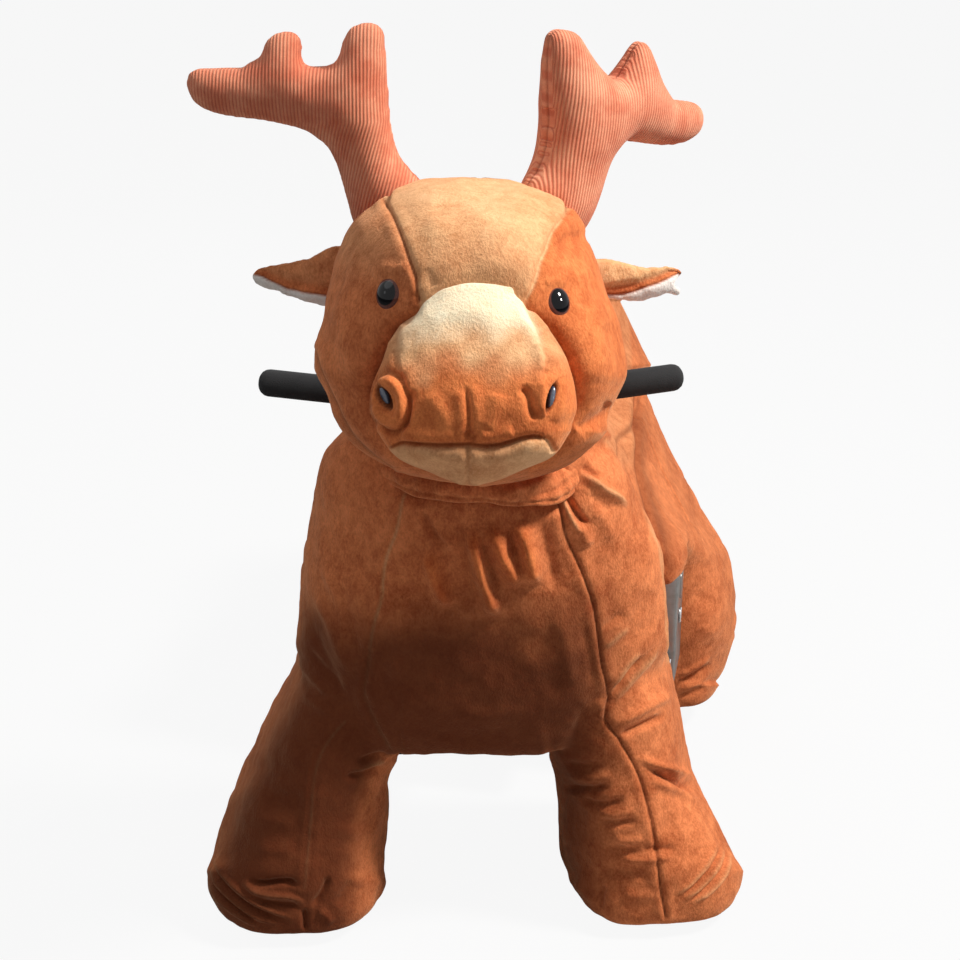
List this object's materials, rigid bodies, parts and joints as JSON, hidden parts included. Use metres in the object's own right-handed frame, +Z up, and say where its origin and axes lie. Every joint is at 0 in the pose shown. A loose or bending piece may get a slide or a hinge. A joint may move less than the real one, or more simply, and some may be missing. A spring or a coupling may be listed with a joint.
{
  "type": "plush animal ride-on",
  "caption": "Battery driven ride-on in the form of a stuffed moose, steered by a handlebar that turns the whole plush front, with a coin box under the seat.",
  "frame": {"origin": "on the floor, under the middle of the bounding box, with the steering at rest as stored", "axes": "+Z up, -Y the way the ride travels and the animal looks, +X the animal's left side"},
  "size_m": [0.6584, 1.2128, 1.0526],
  "materials": {
    "plush": "short pile plush",
    "tan_plush": "short pile plush",
    "corduroy": "ribbed corduroy",
    "eye_gloss": "polished",
    "black_steel": "satin powder coat",
    "zinc_steel": "zinc plated",
    "stainless": "polished sheet",
    "chrome": "bright chrome",
    "foam": "closed cell foam",
    "rubber": "matt",
    "black_plastic": "moulded",
    "red_plastic": "moulded",
    "battery_case": "moulded",
    "aluminium": "cast and tumbled",
    "plywood": "sanded birch",
    "gear_steel": "cut, lightly oiled"
  },
  "bodies": {
    "chassis": {"chassis_frame": "black_steel", "headset_upper": "zinc_steel", "headset_lower": "zinc_steel", "axle_bearing_left": "aluminium", "axle_bearing_right": "aluminium", "motor": "black_steel", "motor_plate": "zinc_steel", "battery_tray": "black_steel", "battery_left": "battery_case", "battery_right": "battery_case", "controller": "aluminium", "seat_post_front": "black_steel", "seat_post_rear": "black_steel", "seat_board": "plywood", "foot_peg_left": "chrome", "foot_peg_right": "chrome", "peg_sleeve_left": "rubber", "peg_sleeve_right": "rubber", "coin_box": "stainless", "torso": "plush", "rear_leg_left": "plush", "rear_leg_right": "plush", "tail": "plush"},
    "steering": {"steering_column": "zinc_steel", "front_crossbar": "black_steel", "upright_left": "black_steel", "upright_right": "black_steel", "stem": "aluminium", "handlebar": "black_steel", "grip_left": "foam", "grip_right": "foam", "throttle_housing": "black_plastic", "horn_housing": "black_plastic", "chest": "plush", "front_leg_left": "plush", "front_leg_right": "plush", "collar": "plush", "head": "plush", "muzzle": "tan_plush", "ear_left": "plush", "ear_right": "plush", "antler_left": "corduroy", "antler_right": "corduroy", "eye_left": "eye_gloss", "eye_right": "eye_gloss"},
    "front_wheel_left": {"tyre_front_left": "rubber", "hub_front_left": "black_plastic"},
    "front_wheel_right": {"tyre_front_right": "rubber", "hub_front_right": "black_plastic"},
    "rear_axle": {"rear_axle": "zinc_steel", "axle_gear": "gear_steel", "tyre_rear_left": "rubber", "tyre_rear_right": "rubber", "hub_rear_left": "black_plastic", "hub_rear_right": "black_plastic"},
    "motor_pinion": {"motor_pinion": "gear_steel"},
    "coin_door": {"coin_door": "stainless", "coin_lock": "chrome"},
    "throttle_lever": {"throttle_lever": "red_plastic"},
    "horn_button": {"horn_button": "red_plastic"}
  },
  "joints": [
    {"name": "steering", "type": "hinge", "parent": "chassis", "child": "steering", "pos_m": [-0.0105, -0.18506, 0.4], "axis": [0, 0, 1], "range_deg": [-39, 11]},
    {"name": "front_wheel_left_spin", "type": "hinge", "parent": "steering", "child": "front_wheel_left", "pos_m": [0.19203, -0.17064, 0.1], "axis": [0.9703, 0.2419, 0], "continuous": true},
    {"name": "front_wheel_right_spin", "type": "hinge", "parent": "steering", "child": "front_wheel_right", "pos_m": [-0.19609, -0.26741, 0.1], "axis": [0.9703, 0.2419, 0], "continuous": true},
    {"name": "rear_axle_spin", "type": "hinge", "parent": "chassis", "child": "rear_axle", "pos_m": [-0.0105, 0.29494, 0.1], "axis": [1, 0, 0], "continuous": true},
    {"name": "motor_pinion_spin", "type": "hinge", "parent": "chassis", "child": "motor_pinion", "pos_m": [-0.0105, 0.21976, 0.12736], "axis": [1, 0, 0], "continuous": true},
    {"name": "coin_door_hinge", "type": "hinge", "parent": "chassis", "child": "coin_door", "pos_m": [0.2122, 0.11276, 0.1575], "axis": [0, 1, 0], "range_deg": [0, 95]},
    {"name": "throttle", "type": "hinge", "parent": "steering", "child": "throttle_lever", "pos_m": [-0.11812, -0.15884, 0.60939], "axis": [-0.9988, -0.0099, 0.0483], "range_deg": [0, 30], "stiffness_Nm_per_rad": 0.05},
    {"name": "horn_press", "type": "slide", "parent": "steering", "child": "horn_button", "axis": [0.4607, -0.8876, 0], "range_m": [0, 0.003], "stiffness_N_per_m": 200}
  ],
  "couplings": [
    {"joint": "motor_pinion_spin", "follows": "rear_axle_spin", "ratio": -3}
  ]
}
